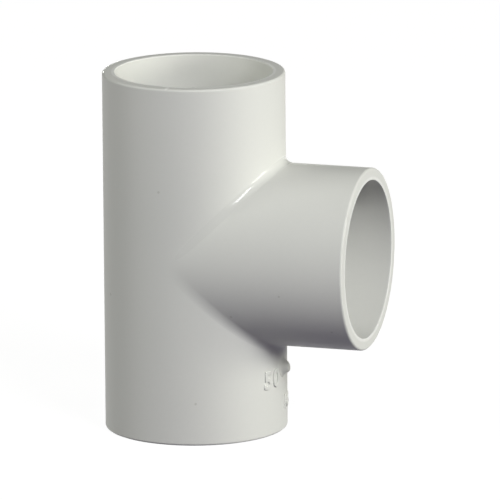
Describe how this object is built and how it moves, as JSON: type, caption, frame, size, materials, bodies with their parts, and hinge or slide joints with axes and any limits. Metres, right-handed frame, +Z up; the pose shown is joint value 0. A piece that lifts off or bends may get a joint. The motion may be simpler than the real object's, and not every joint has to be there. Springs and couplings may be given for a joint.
{
  "type": "tee fitting",
  "caption": "Equal 90 degree tee in moulded plastic with plain sockets for cementing pipe: a straight run with a branch at right angles to its middle.",
  "frame": {"origin": "centre of the lower mouth of the run, on the plane of its rim, where the part stands", "axes": "+Z up along the run, +X out along the branch, +Y completes the right-handed frame and is square to both pipes"},
  "size_m": [0.0865, 0.058, 0.115],
  "materials": {
    "pvc": "satin"
  },
  "bodies": {
    "root": {"upper_socket": "pvc", "lower_socket": "pvc", "branch_socket": "pvc"}
  },
  "joints": []
}
